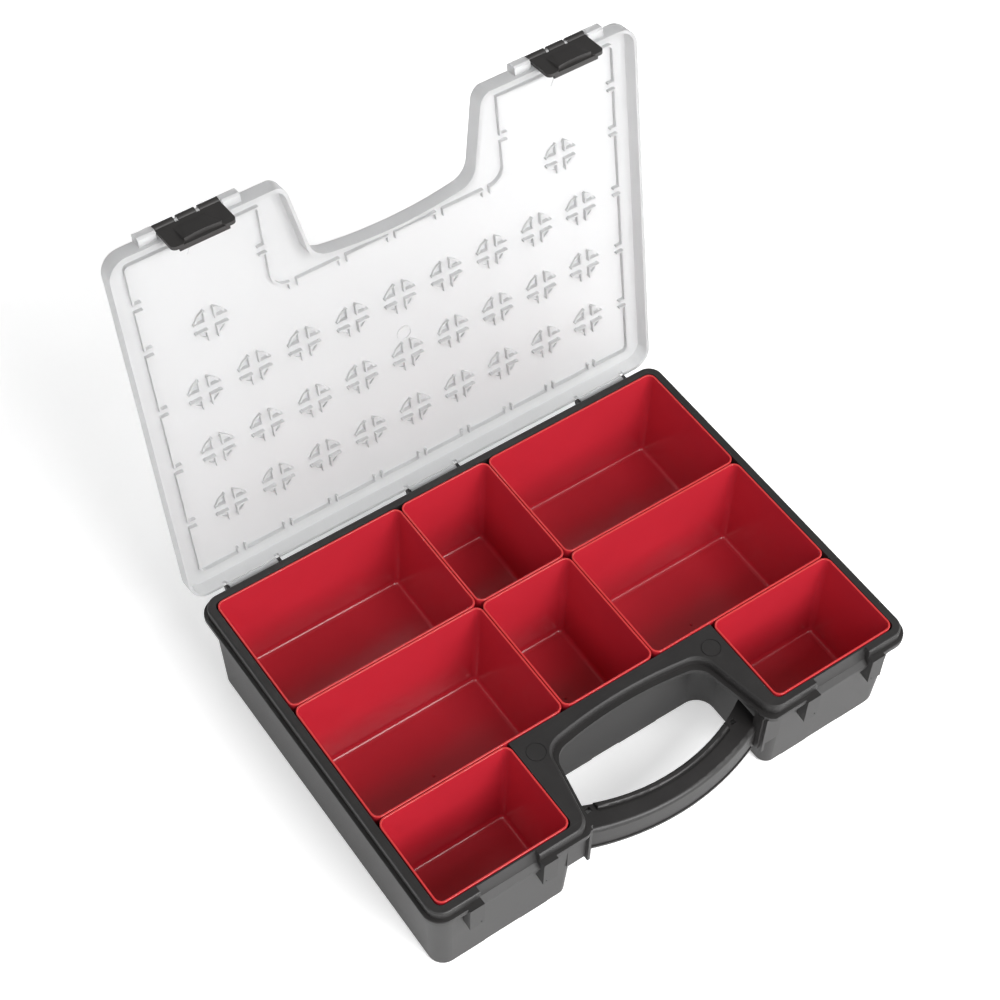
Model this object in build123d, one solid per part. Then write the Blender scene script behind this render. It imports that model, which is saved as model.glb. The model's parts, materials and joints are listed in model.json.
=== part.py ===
from build123d import *
import os

# Compartment organizer: a moulded case with a bowed carrying handle, eight lift-out trays,
# and a clear lid on three clip hinges, held shut by two swinging latches.
# Millimetres. The origin is the centre of the underside, X runs along the hinge,
# -Y is the handle side, +Z is up. The lid is modelled closed and then swung open.

# Trays: the layout is a grid of small steps.
STEP_X = 32.0
ROW_DEPTH = 86.5
FRONT_ROW_DEPTH = 62.0
FRONT_TRAY_WIDTH = 88.0
TRAY_GAP = 0.5
TRAY_WALL = 1.2
TRAY_FLOOR = 1.4
TRAY_DRAFT = 3.2
TRAY_CORNER = 4.0
TRAY_HEEL = 4.5
TRAY_EDGE = 0.35

BLOCK_WIDTH = 10 * STEP_X
BLOCK_DEPTH = 2 * ROW_DEPTH + FRONT_ROW_DEPTH
BACK = BLOCK_DEPTH / 2
FRONT = -BLOCK_DEPTH / 2

# Heights above the surface that the case stands on.
FOOT_HEIGHT = 1.8
CASE_FLOOR = 4.0
TRAY_TOP = 74.5
RIM_TOP = TRAY_TOP - 0.6
LEDGE_TOP = TRAY_TOP - 6.5
FLANGE_LOW = LEDGE_TOP - 3.0
LID_SKIRT_LOW = LEDGE_TOP + 0.3
LID_TOP = TRAY_TOP + 5.0

# Case shell.
RIM_WIDTH = 8.0
LEDGE_WIDTH = 2.5
OUTER_WIDTH = BLOCK_WIDTH + 2 * RIM_WIDTH
OUTER_DEPTH = BLOCK_DEPTH + 2 * RIM_WIDTH
OUTER_CORNER = 12.0
WALL_INSET_TOP = 4.5
WALL_INSET_LOW = 7.0
WALL_CORNER = 9.5
FLANGE_ROUND = 0.6
RIM_ROUND = 1.2
POCKET_CLEARANCE = 0.4
POCKET_DRAFT = 3.0
SHELL_WALL = 2.2
DECK_MARK_X = 62.0
DECK_MARK_Y = FRONT + 48.5
DECK_MARK_RADIUS = 6.0

# Rails and pads under the floor.
RAIL_WIDTH = 4.0
PAD_WIDTH = 60.0
PAD_DEPTH = 30.0
SIDE_GAP = 60.0
PAD_X = 24.0
BACK_GAP = 100.0
BAY_GAP = 86.0
LATCH_GAP = 12.0

# Bay under the handle: the opening that the fingers go through. Its outline is an arched back
# and two straight sides that spread towards the front, with a wide flare at each front corner.
BAY_BACK = FRONT + 49.7
BAY_ARCH = 5.4
BAY_SIDE_BACK = 53.4
BAY_SIDE_FRONT = 59.7
BAY_SIDE_BACK_Y = -80.0
BAY_SIDE_FRONT_Y = -113.5
BAY_INNER_RADIUS = 13.0
BAY_OUTER_RADIUS = 9.0
BAY_FRONT_EXTRA = 30.0
BAY_FAR = OUTER_WIDTH / 2 - 60.0
DECK_LIP = 3.0
DECK_ROLL = 1.4
WELL_HALF_TOP = 69.0
WELL_HALF_LOW = 71.6
WELL_BACK = FRONT + 59.6
WELL_RADIUS = 12.0
WELL_FRONT_RADIUS = 7.0

# Handle bar.
HANDLE_TOP = 52.0
HANDLE_LOW = 32.0
HANDLE_INNER_RADIUS = 126.0
HANDLE_INNER_FRONT = -113.0
HANDLE_OUTER_RADIUS = 161.8
HANDLE_OUTER_FRONT = -128.5
HANDLE_HALF_SPAN = 64.0
HANDLE_WALL = 2.4
HANDLE_TOP_WALL = 1.8
HANDLE_ROUND = 2.6
BEAD_WIDTH = 4.2
BEAD_HEIGHT = 2.2
BEAD_GROOVE = 1.0
BEAD_HALF_SPAN = 47.0
GRIP_NOTCH = 3.4
GRIP_NOTCH_X = 51.5
GRIP_NOTCH_Y = -105.6
ROOT_X = 60.0
ROOT_LENGTH = 11.0
ROOT_FRONT_LENGTH = 16.0
ROOT_FRONT = FRONT - 3.0
ROOT_BACK = FRONT + 4.0
FIN_X = 62.5
FIN_THICKNESS = 1.8
FIN_FRONT = FRONT - 5.4

# Latches and their catches.
LATCH_X = 117.0
LATCH_WIDTH = 38.0
LATCH_AXIS_Y = -128.8
LATCH_AXIS_Z = TRAY_TOP + 0.5
LATCH_ROD_RADIUS = 1.5
LATCH_BARREL_RADIUS = 2.7
LATCH_REACH = 18.2
LATCH_LENGTH = 20.4
LATCH_PLATE_IN = 0.6
LATCH_PLATE_OUT = 1.6
LATCH_HOOK_DEPTH = 3.2
LATCH_CORNER = 3.0
LATCH_RAMP = 1.8
LATCH_ARCH_HALF = 12.5
LATCH_ARCH_RISE = 2.0
LATCH_REST_TILT = 3.5
LATCH_SIDE_PLAY = 0.5
CATCH_LIP_Y = -123.8
CATCH_FACE_Y = FRONT - 3.3
CATCH_TOP = FLANGE_LOW
CATCH_LOW = FLANGE_LOW - 6.0
GUARD_WIDTH = 9.5
GUARD_FRONT = -127.2
GUARD_LOW = FLANGE_LOW - 18.0
GUARD_DOT_RADIUS = 0.5

# Lid hinges.
HINGE_XS = (-4 * STEP_X, 0.0, 4 * STEP_X)
HINGE_AXIS_Y = 127.0
HINGE_AXIS_Z = LEDGE_TOP - 1.0
HINGE_PIN_RADIUS = 1.6
HINGE_BARREL_RADIUS = 3.1
HINGE_HALF_WIDTH = 17.0
EAR_THICKNESS = 1.8
EAR_RADIUS = 2.6
EAR_ROOT = BACK + 3.0
EAR_SLOT_PLAY = 0.35
BARREL_PLAY = 0.6
RUNNING_FIT = 0.05

# Lid.
LID_PLATE = 1.8
LID_SKIRT = 2.0
LID_RIB = 1.1
LID_RIB_LOW = TRAY_TOP + 0.6
LID_ROUND = 1.6
LID_BAY_PLAY = 0.4
LID_OPEN_ANGLE = 99.9
HALF_ROW = ROW_DEPTH / 2
RIB_SIDE = BLOCK_WIDTH / 2 - 3.4
RIB_BACK = BACK - 3.7
RIB_FRONT = FRONT + 3.0
RIB_WING = BLOCK_WIDTH / 2 - FRONT_TRAY_WIDTH + 4.2
RIB_NOTCH = BACK - 2 * ROW_DEPTH - 3.0
RIB_CORNER = 3.0
RIB_NOTCH_CORNER = 10.0
RIB_BREAK = 2.6
RIB_TAB = 5.0
CROSS_SLOT = 3.1
CROSS_ARM = 6.6
CROSS_RADIUS = 9.6
GATE_MARK_Y = BACK - 102.0
GATE_MARK_RADIUS = 5.0
ARROW_SIZE = 7.0
ARROW_Y = FRONT + 12.0


def slab(width, depth, radius, low, high):
    """A plate with rounded corners between two heights."""
    return extrude(Pos(0, 0, low) * RectangleRounded(width, depth, radius), amount=high - low)


def tapered(low_size, high_size, low, high):
    """A drafted block. Each size is width, depth, corner radius."""
    sections = [
        Pos(0, 0, low) * RectangleRounded(*low_size),
        Pos(0, 0, high) * RectangleRounded(*high_size),
    ]
    return loft(sections)


def block(x_low, x_high, y_low, y_high, z_low, z_high):
    """An axis-aligned block from its limits."""
    size = (x_high - x_low, y_high - y_low, z_high - z_low)
    middle = ((x_low + x_high) / 2, (y_low + y_high) / 2, (z_low + z_high) / 2)
    return Pos(*middle) * Box(*size)


def side_prism(points, x_low, x_high):
    """A prism along X whose section is a list of (y, z) points."""
    outline = Polyline([(x_low, y, z) for y, z in points], close=True)
    return extrude(make_face(outline), amount=x_high - x_low, dir=(1, 0, 0))


def bar_along_x(y, z, radius, x_low, x_high):
    """A round bar along X."""
    return Pos((x_low + x_high) / 2, y, z) * Rot(0, 90, 0) * Cylinder(radius, x_high - x_low)


def open_bay(z, half_back, half_front, back_y, arch, reach, radii):
    """A recess open at the front: an arched back, straight sides and a flare at each front corner."""
    shoulder_y = back_y - arch
    beyond = reach - BAY_FRONT_EXTRA
    corners = [
        (half_back, shoulder_y),
        (half_front, reach),
        (BAY_FAR, reach),
        (BAY_FAR, beyond),
        (-BAY_FAR, beyond),
        (-BAY_FAR, reach),
        (-half_front, reach),
        (-half_back, shoulder_y),
    ]
    edges = [Line(start, end) for start, end in zip(corners, corners[1:])]
    edges.append(ThreePointArc((-half_back, shoulder_y), (0, back_y), (half_back, shoulder_y)))
    face = make_face(Curve() + edges)
    inner = [v for v in face.vertices() if v.Y > shoulder_y - 1]
    face = fillet(inner, radii[0])
    outer = [v for v in face.vertices() if abs(v.Y - reach) < 0.01 and abs(v.X) < BAY_FAR - 1]
    face = fillet(outer, radii[1])
    return Pos(0, 0, z) * face


def bay_face(z, grown=0.0, front=-OUTER_DEPTH / 2):
    """The outline of the hand opening at one height, grown on every side."""
    reach = front - 0.3
    slope = (BAY_SIDE_FRONT - BAY_SIDE_BACK) / (BAY_SIDE_BACK_Y - BAY_SIDE_FRONT_Y)
    back_y = BAY_BACK + grown
    half_back = BAY_SIDE_BACK + grown + slope * (BAY_SIDE_BACK_Y - back_y + BAY_ARCH)
    half_front = BAY_SIDE_BACK + grown + slope * (BAY_SIDE_BACK_Y - reach)
    radii = (BAY_INNER_RADIUS, BAY_OUTER_RADIUS)
    return open_bay(z, half_back, half_front, back_y, BAY_ARCH, reach, radii)


def well_face(z, half, front):
    """The outline of the space under the deck at one height."""
    return open_bay(z, half, half, WELL_BACK, 0.5, front, (WELL_RADIUS, WELL_FRONT_RADIUS))


def arc_band(inner_radius, inner_front, outer_radius, outer_front, half_span):
    """The plan of a strip between two bowed arcs, cut off at its ends."""
    outer = Pos(0, outer_front + outer_radius) * Circle(outer_radius)
    inner = Pos(0, inner_front + inner_radius) * Circle(inner_radius)
    window = Pos(0, -120) * Rectangle(2 * half_span, 60)
    return (outer - inner) & window


def make_tub():
    """Drafted tub with a flange at its rim, a ledge for the lid, and a step inside the ledge."""
    low_width = OUTER_WIDTH - 2 * WALL_INSET_LOW
    low_depth = OUTER_DEPTH - 2 * WALL_INSET_LOW
    top_width = OUTER_WIDTH - 2 * WALL_INSET_TOP
    top_depth = OUTER_DEPTH - 2 * WALL_INSET_TOP
    tub = tapered(
        (low_width, low_depth, WALL_CORNER),
        (top_width, top_depth, WALL_CORNER),
        FOOT_HEIGHT,
        LEDGE_TOP - 1,
    )
    flange = slab(OUTER_WIDTH, OUTER_DEPTH, OUTER_CORNER, FLANGE_LOW, LEDGE_TOP)
    flange = fillet(flange.edges().group_by(Axis.Z)[-1], FLANGE_ROUND)
    step_width = OUTER_WIDTH - 2 * LEDGE_WIDTH
    step_depth = OUTER_DEPTH - 2 * LEDGE_WIDTH
    step = slab(step_width, step_depth, OUTER_CORNER - LEDGE_WIDTH, FLANGE_LOW, RIM_TOP)
    step = fillet(step.edges().group_by(Axis.Z)[-1], RIM_ROUND)
    return tub + flange + step


def tray_pocket():
    """The space that the trays stand in: a wide back part and a narrower part each side of the bay."""
    grown = 2 * POCKET_CLEARANCE
    parts = [(0, BACK - ROW_DEPTH, BLOCK_WIDTH + grown, 2 * ROW_DEPTH + grown)]
    front_depth = FRONT_ROW_DEPTH + ROW_DEPTH
    for side in (-1, 1):
        x = side * (BLOCK_WIDTH - FRONT_TRAY_WIDTH) / 2
        parts.append((x, FRONT + front_depth / 2, FRONT_TRAY_WIDTH + grown, front_depth + grown))
    pocket = Part()
    for x, y, width, depth in parts:
        low_size = (width - 2 * POCKET_DRAFT, depth - 2 * POCKET_DRAFT, TRAY_CORNER)
        pocket = pocket + Pos(x, y) * tapered(
            low_size, (width, depth, TRAY_CORNER + POCKET_CLEARANCE), CASE_FLOOR, RIM_TOP + 1
        )
    return pocket


def cut_hand_opening(shell):
    """Cut the rolled edge of the deck, the lip inside it, and the space under the deck."""
    front = LEDGE_WIDTH - OUTER_DEPTH / 2
    mouth = extrude(bay_face(LEDGE_TOP, DECK_LIP, front), amount=RIM_TOP + 5 - LEDGE_TOP)
    sections = []
    for drop, spread in ((1.0, 0.0), (0.35, 0.35), (-0.01, 1.1)):
        grown = spread * DECK_ROLL
        sections.append(bay_face(RIM_TOP - drop * DECK_ROLL, DECK_LIP + grown, front + grown))
    roll = loft(sections, ruled=True)
    lip = extrude(bay_face(FLANGE_LOW - 1), amount=10)
    well = loft(
        [
            well_face(-1, WELL_HALF_LOW, WALL_INSET_LOW - OUTER_DEPTH / 2),
            well_face(FLANGE_LOW, WELL_HALF_TOP, WALL_INSET_TOP - OUTER_DEPTH / 2),
        ]
    )
    under = block(
        -WELL_HALF_TOP,
        WELL_HALF_TOP,
        FRONT + 6,
        WELL_BACK,
        FLANGE_LOW - 1,
        RIM_TOP - SHELL_WALL,
    )
    kept = extrude(bay_face(0, DECK_LIP + SHELL_WALL, FRONT + 8), amount=RIM_TOP)
    return shell - mouth - roll - lip - well - (under - kept)


def mark_deck(shell):
    """Sink two fine rings into the deck."""
    ring = Cylinder(DECK_MARK_RADIUS, 1) - Cylinder(DECK_MARK_RADIUS - 0.5, 2)
    for side in (-1, 1):
        shell = shell - Pos(side * DECK_MARK_X, DECK_MARK_Y, RIM_TOP + 0.1) * ring
    return shell


def make_rails():
    """Rails under the outer walls, broken along each side, and pads under the middle of the floor."""
    width = OUTER_WIDTH - 2 * WALL_INSET_LOW - 1
    depth = OUTER_DEPTH - 2 * WALL_INSET_LOW - 1
    top = FOOT_HEIGHT + 0.2
    rails = slab(width, depth, WALL_CORNER, 0, top)
    inner_size = (width - 2 * RAIL_WIDTH, depth - 2 * RAIL_WIDTH, WALL_CORNER - RAIL_WIDTH)
    rails = rails - slab(*inner_size, -1, top + 1)
    near, far = FRONT + 10, BACK - 10
    rails = rails - block(-width, width, -SIDE_GAP, SIDE_GAP, -1, top + 1)
    rails = rails - block(-BACK_GAP, BACK_GAP, far, BACK + 10, -1, top + 1)
    rails = rails - block(-BAY_GAP, BAY_GAP, FRONT - 10, near, -1, top + 1)
    for side in (-1, 1):
        gap = sorted((side * (LATCH_X - LATCH_GAP), side * (LATCH_X + LATCH_GAP)))
        rails = rails - block(*gap, FRONT - 10, near, -1, top + 1)
    pads = [slab(PAD_WIDTH, PAD_DEPTH, 5, 0, top)]
    for x in (-PAD_X, PAD_X):
        pads.append(block(x - 14, x + 14, WELL_BACK + 0.4, WELL_BACK + 0.4 + RAIL_WIDTH, 0, top))
    return rails.solids() + pads


def make_handle():
    """Bowed bar of inverted U section with a raised bead along its inner top edge."""
    plan = arc_band(
        HANDLE_INNER_RADIUS, HANDLE_INNER_FRONT, HANDLE_OUTER_RADIUS, HANDLE_OUTER_FRONT, HANDLE_HALF_SPAN
    )
    bar = extrude(Pos(0, 0, HANDLE_LOW) * plan, amount=HANDLE_TOP - HANDLE_LOW)
    top_edges = bar.edges().group_by(Axis.Z)[-1]
    arcs = [e for e in top_edges if e.geom_type == GeomType.CIRCLE]
    bar = fillet([e for e in arcs if e.radius > HANDLE_INNER_RADIUS + 1], HANDLE_ROUND)
    core_plan = arc_band(
        HANDLE_INNER_RADIUS + HANDLE_WALL,
        HANDLE_INNER_FRONT - HANDLE_WALL,
        HANDLE_OUTER_RADIUS - HANDLE_WALL,
        HANDLE_OUTER_FRONT + HANDLE_WALL,
        HANDLE_HALF_SPAN - 5,
    )
    core_height = HANDLE_TOP - HANDLE_TOP_WALL - HANDLE_LOW + 1
    bar = bar - extrude(Pos(0, 0, HANDLE_LOW - 1) * core_plan, amount=core_height)

    bead_plan = arc_band(
        HANDLE_INNER_RADIUS,
        HANDLE_INNER_FRONT,
        HANDLE_INNER_RADIUS + BEAD_WIDTH,
        HANDLE_INNER_FRONT - BEAD_WIDTH,
        BEAD_HALF_SPAN,
    )
    bead = extrude(Pos(0, 0, HANDLE_TOP - 0.5) * bead_plan, amount=BEAD_HEIGHT + 0.5)
    bead = fillet(bead.edges().group_by(Axis.Z)[-1], 0.6 * BEAD_HEIGHT)
    groove_plan = arc_band(
        HANDLE_INNER_RADIUS + BEAD_WIDTH,
        HANDLE_INNER_FRONT - BEAD_WIDTH,
        HANDLE_INNER_RADIUS + BEAD_WIDTH + BEAD_GROOVE,
        HANDLE_INNER_FRONT - BEAD_WIDTH - BEAD_GROOVE,
        BEAD_HALF_SPAN,
    )
    groove = extrude(Pos(0, 0, HANDLE_TOP - 0.8) * groove_plan, amount=2)
    line_plan = arc_band(
        HANDLE_OUTER_RADIUS - 1.5,
        HANDLE_OUTER_FRONT + 1.5,
        HANDLE_OUTER_RADIUS + 0.7,
        HANDLE_OUTER_FRONT - 0.7,
        HANDLE_HALF_SPAN - 6,
    )
    line = extrude(Pos(0, 0, HANDLE_LOW + 1.5) * line_plan, amount=1.6)
    bar = bar + bead + line - groove
    for side in (-1, 1):
        bar = bar - Pos(side * GRIP_NOTCH_X, GRIP_NOTCH_Y, HANDLE_TOP) * Box(GRIP_NOTCH, GRIP_NOTCH, 4)
    return bar


def make_handle_roots():
    """Blocks that tie the handle's ends to the case, each with an upright fin."""
    parts = []
    for side in (-1, 1):
        ends = sorted((side * ROOT_X, side * (ROOT_X + ROOT_LENGTH)))
        front_ends = sorted((side * ROOT_X, side * (ROOT_X + ROOT_FRONT_LENGTH)))
        middle = side * FIN_X
        fin = (middle - FIN_THICKNESS / 2, middle + FIN_THICKNESS / 2)
        parts.append(block(*ends, ROOT_FRONT, ROOT_BACK, HANDLE_LOW + 2, FLANGE_LOW + 1))
        parts.append(block(*front_ends, ROOT_FRONT, FRONT - 0.6, HANDLE_LOW + 2, FLANGE_LOW + 1))
        parts.append(block(*fin, FIN_FRONT, ROOT_BACK, HANDLE_LOW, FLANGE_LOW + 1))
    return parts


def add_catches(shell):
    """Cut the rim back at each latch and add the catch bar and its two guards."""
    half = LATCH_WIDTH / 2 + LATCH_SIDE_PLAY
    inside = FRONT - 1.5
    cut_outline = [
        (FRONT - 1.2, RIM_TOP + 2),
        (FRONT - 1.2, RIM_TOP - 0.4),
        (CATCH_FACE_Y, CATCH_TOP - 1.5),
        (CATCH_FACE_Y, CATCH_LOW - 0.5),
        (FRONT - 30, CATCH_LOW - 0.5),
        (FRONT - 30, RIM_TOP + 2),
    ]
    catch_outline = [
        (inside, CATCH_TOP),
        (CATCH_FACE_Y + 0.1, CATCH_TOP - 0.9),
        (CATCH_LIP_Y, CATCH_TOP - 3.9),
        (CATCH_LIP_Y, CATCH_TOP - 5.9),
        (CATCH_LIP_Y + 0.1, CATCH_LOW - 0.9),
        (FRONT - 2.6, CATCH_LOW),
        (inside, CATCH_LOW),
    ]
    guard_outline = [
        (FRONT - 1.0, LEDGE_TOP),
        (GUARD_FRONT, LEDGE_TOP),
        (GUARD_FRONT, GUARD_LOW),
        (FRONT - 1.0, GUARD_LOW + 1.5),
    ]
    for side in (-1, 1):
        centre = side * LATCH_X
        shell = shell - side_prism(cut_outline, centre - half, centre + half)
        shell = shell + side_prism(catch_outline, centre - half - 0.5, centre + half + 0.5)
        for hand in (-1, 1):
            ends = sorted((centre + hand * half, centre + hand * (half + GUARD_WIDTH)))
            shell = shell + side_prism(guard_outline, *ends)
            dot = Rot(90, 0, 0) * Cylinder(GUARD_DOT_RADIUS, 1)
            shell = shell - Pos(centre + hand * (half + 2), GUARD_FRONT, GUARD_LOW + 2.5) * dot
    return shell


def add_hinge_ears(shell):
    """Open the flange at each hinge and add two ears with the pin between them."""
    brace_outline = [
        (EAR_ROOT, FLANGE_LOW - 9),
        (HINGE_AXIS_Y + 1.8, HINGE_AXIS_Z - 1.9),
        (HINGE_AXIS_Y, HINGE_AXIS_Z),
        (EAR_ROOT, HINGE_AXIS_Z),
    ]
    gap_low, gap_high = FLANGE_LOW - 3, RIM_TOP + 3
    for centre in HINGE_XS:
        low, high = centre - HINGE_HALF_WIDTH, centre + HINGE_HALF_WIDTH
        shell = shell - block(low, high, BACK + 5.4, BACK + 20, gap_low, gap_high)
        for hand in (-1, 1):
            near = centre + hand * HINGE_HALF_WIDTH
            ends = sorted((near, near + hand * EAR_THICKNESS))
            ear = block(*ends, EAR_ROOT, HINGE_AXIS_Y, FLANGE_LOW - 4, HINGE_AXIS_Z + EAR_RADIUS)
            boss = bar_along_x(HINGE_AXIS_Y, HINGE_AXIS_Z, EAR_RADIUS, *ends)
            shell = shell + ear + boss + side_prism(brace_outline, *ends)
        reach = HINGE_HALF_WIDTH + EAR_THICKNESS / 2
        shell = shell + bar_along_x(
            HINGE_AXIS_Y, HINGE_AXIS_Z, HINGE_PIN_RADIUS, centre - reach, centre + reach
        )
    return shell


def make_case_base():
    """The whole lower moulding."""
    shell = make_tub() - tray_pocket()
    shell = cut_hand_opening(shell)
    shell = mark_deck(shell) + make_rails()
    shell = shell + make_handle()
    shell = shell + make_handle_roots()
    shell = add_catches(shell)
    shell = add_hinge_ears(shell)
    return shell


def make_tray(x_low, x_high, y_low, y_high):
    """A drafted open tray that fills one cell of the layout."""
    width = x_high - x_low - TRAY_GAP
    depth = y_high - y_low - TRAY_GAP
    low_width = width - 2 * TRAY_DRAFT
    low_depth = depth - 2 * TRAY_DRAFT
    low_corner = TRAY_HEEL + 1.0
    outer = tapered(
        (low_width, low_depth, low_corner), (width, depth, TRAY_CORNER), CASE_FLOOR, TRAY_TOP
    )
    outer = fillet(outer.edges().group_by(Axis.Z)[0], TRAY_HEEL)
    wall = 2 * TRAY_WALL
    inner = tapered(
        (low_width - wall, low_depth - wall, low_corner),
        (width - wall, depth - wall, TRAY_CORNER - TRAY_WALL),
        CASE_FLOOR + TRAY_FLOOR,
        TRAY_TOP,
    )
    inner = fillet(inner.edges().group_by(Axis.Z)[0], TRAY_HEEL)
    tray = outer - inner
    rim = [e for e in tray.edges() if e.center().Z > TRAY_TOP - 0.01]
    tray = fillet(rim, TRAY_EDGE)
    return Pos((x_low + x_high) / 2, (y_low + y_high) / 2, 0) * tray


def tray_cells():
    """Name and limits of each cell of the layout."""
    side = BLOCK_WIDTH / 2
    column = STEP_X
    back_row = (BACK - ROW_DEPTH, BACK)
    middle_row = (BACK - 2 * ROW_DEPTH, BACK - ROW_DEPTH)
    front_row = (FRONT, FRONT + FRONT_ROW_DEPTH)
    front_inner = side - FRONT_TRAY_WIDTH
    return {
        "tray_back_left": (-side, -column, *back_row),
        "tray_back_middle": (-column, column, *back_row),
        "tray_back_right": (column, side, *back_row),
        "tray_middle_left": (-side, -column, *middle_row),
        "tray_centre": (-column, column, *middle_row),
        "tray_middle_right": (column, side, *middle_row),
        "tray_front_left": (-side, -front_inner, *front_row),
        "tray_front_right": (front_inner, side, *front_row),
    }


def rib_height():
    """Height of a rib, with the bit that is sunk into the lid's plate."""
    return LID_TOP - LID_PLATE + 0.4 - LID_RIB_LOW


def rib_box(x, y, length_x, length_y):
    """One upright rib under the lid plate, from the middle of its plan."""
    height = rib_height()
    return Pos(x, y, LID_RIB_LOW + height / 2) * Box(length_x, length_y, height)


def cross_mark(x, y):
    """Four angled ribs that leave a plus-shaped slot for the tray walls, inside a broken ring."""
    arm = CROSS_ARM + LID_RIB
    middle = CROSS_SLOT + CROSS_ARM / 2
    height = rib_height() / 2
    ring = Cylinder(CROSS_RADIUS + LID_RIB / 2, height) - Cylinder(CROSS_RADIUS - LID_RIB / 2, height + 1)
    ring_z = LID_TOP - LID_PLATE + 0.2 - height / 2
    ribs = []
    for turn in range(4):
        place = Pos(x, y) * Rot(0, 0, 90 * turn)
        ribs.append(place * rib_box(middle, CROSS_SLOT, arm, LID_RIB))
        ribs.append(place * rib_box(CROSS_SLOT, middle, LID_RIB, arm))
        corner = Rot(0, 0, 45) * Pos(CROSS_RADIUS, 0) * Box(CROSS_RADIUS, CROSS_RADIUS, 10)
        ribs.append(Pos(x, y, ring_z) * Rot(0, 0, 90 * turn) * (ring & corner))
    return ribs


def rib_plan(inset):
    """The plan inside the perimeter rib, stepped round the notch."""
    side, front, back = RIB_SIDE - inset, RIB_FRONT + inset, RIB_BACK - inset
    wing, notch = RIB_WING + inset, RIB_NOTCH + inset
    corners = [
        (-side, front),
        (-wing, front),
        (-wing, notch),
        (wing, notch),
        (wing, front),
        (side, front),
        (side, back),
        (-side, back),
    ]
    face = make_face(Polyline(corners, close=True))
    is_notch = [v for v in face.vertices() if abs(v.Y - notch) < 0.01]
    face = fillet(is_notch, RIB_NOTCH_CORNER + inset)
    is_outer = [v for v in face.vertices() if abs(abs(v.X) - side) < 0.01]
    return fillet(is_outer, RIB_CORNER)


def make_perimeter_rib():
    """The rib that runs inside the lid's edge, broken at every tray line by paired tabs."""
    ring = extrude(Pos(0, 0, LID_RIB_LOW) * (rib_plan(0) - rib_plan(LID_RIB)), amount=rib_height())
    tabs = []
    columns = [k * STEP_X for k in range(-4, 5)]
    lines = [(x, RIB_BACK, 0, -1) for x in columns]
    lines += [(x, RIB_NOTCH, 0, 1) for x in columns if abs(x) < RIB_WING - RIB_NOTCH_CORNER]
    for hand in (-1, 1):
        lines += [(hand * RIB_SIDE, BACK - row * HALF_ROW, -hand, 0) for row in (1, 2, 3, 4)]
        middle = FRONT + FRONT_ROW_DEPTH / 2
        lines += [(hand * RIB_SIDE, middle, -hand, 0), (hand * RIB_WING, middle, hand, 0)]
    for x, y, inward_x, inward_y in lines:
        gap_x = RIB_TAB if inward_x else 2 * RIB_BREAK
        gap_y = RIB_TAB if inward_y else 2 * RIB_BREAK
        plate_low = LID_TOP - LID_PLATE
        gap = (x - gap_x / 2, x + gap_x / 2, y - gap_y / 2, y + gap_y / 2)
        ring = ring - block(*gap, LID_RIB_LOW - 1, plate_low)
        tab_x, tab_y = x + inward_x * RIB_TAB / 2, y + inward_y * RIB_TAB / 2
        for hand in (-1, 1):
            if inward_x:
                tabs.append(rib_box(tab_x, y + hand * RIB_BREAK, RIB_TAB, LID_RIB))
            else:
                tabs.append(rib_box(x + hand * RIB_BREAK, tab_y, LID_RIB, RIB_TAB))
    return ring.solids() + tabs


def make_lid_marks():
    """The moulding gate's ring, and an arrow beside each latch, both low on the plate."""
    underside = LID_TOP - LID_PLATE
    ring = Cylinder(GATE_MARK_RADIUS, 1) - Cylinder(GATE_MARK_RADIUS - 0.8, 2)
    marks = [Pos(0, GATE_MARK_Y, underside - 0.1) * ring]
    for side in (-1, 1):
        arrow = extrude(RegularPolygon(ARROW_SIZE / 2, 3, rotation=-90), amount=0.8)
        marks.append(Pos(side * LATCH_X, ARROW_Y, underside - 0.5) * arrow)
    return marks


def make_lid_ribs():
    """Everything that stands on the underside of the lid's plate."""
    ribs = make_perimeter_rib() + make_lid_marks()
    for row in (1, 2, 3):
        for column in range(-4, 5):
            ribs += cross_mark(column * STEP_X, BACK - row * HALF_ROW)
    for hand in (-1, 1):
        ribs += cross_mark(hand * (LATCH_X - 1), BACK - 4 * HALF_ROW)
    return ribs


def make_lid_closed():
    """The clear lid in its closed place: plate, skirt, ribs, hinge barrels and latch lugs."""
    outline = slab(OUTER_WIDTH, OUTER_DEPTH, OUTER_CORNER, LID_SKIRT_LOW, LID_TOP)
    outline = outline - extrude(bay_face(LID_SKIRT_LOW - 1, LID_BAY_PLAY), amount=20)
    outline = fillet(outline.edges().group_by(Axis.Z)[-1], LID_ROUND)
    inside = slab(
        OUTER_WIDTH - 2 * LID_SKIRT,
        OUTER_DEPTH - 2 * LID_SKIRT,
        OUTER_CORNER - LID_SKIRT,
        LID_SKIRT_LOW - 1,
        LID_TOP - LID_PLATE,
    )
    notch = bay_face(LID_SKIRT_LOW - 2, LID_BAY_PLAY + LID_SKIRT, LID_SKIRT - OUTER_DEPTH / 2)
    inside = inside - extrude(notch, amount=20)
    lid = outline - inside
    lid = lid + make_lid_ribs()
    return add_latch_lugs(add_hinge_barrels(lid))


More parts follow.
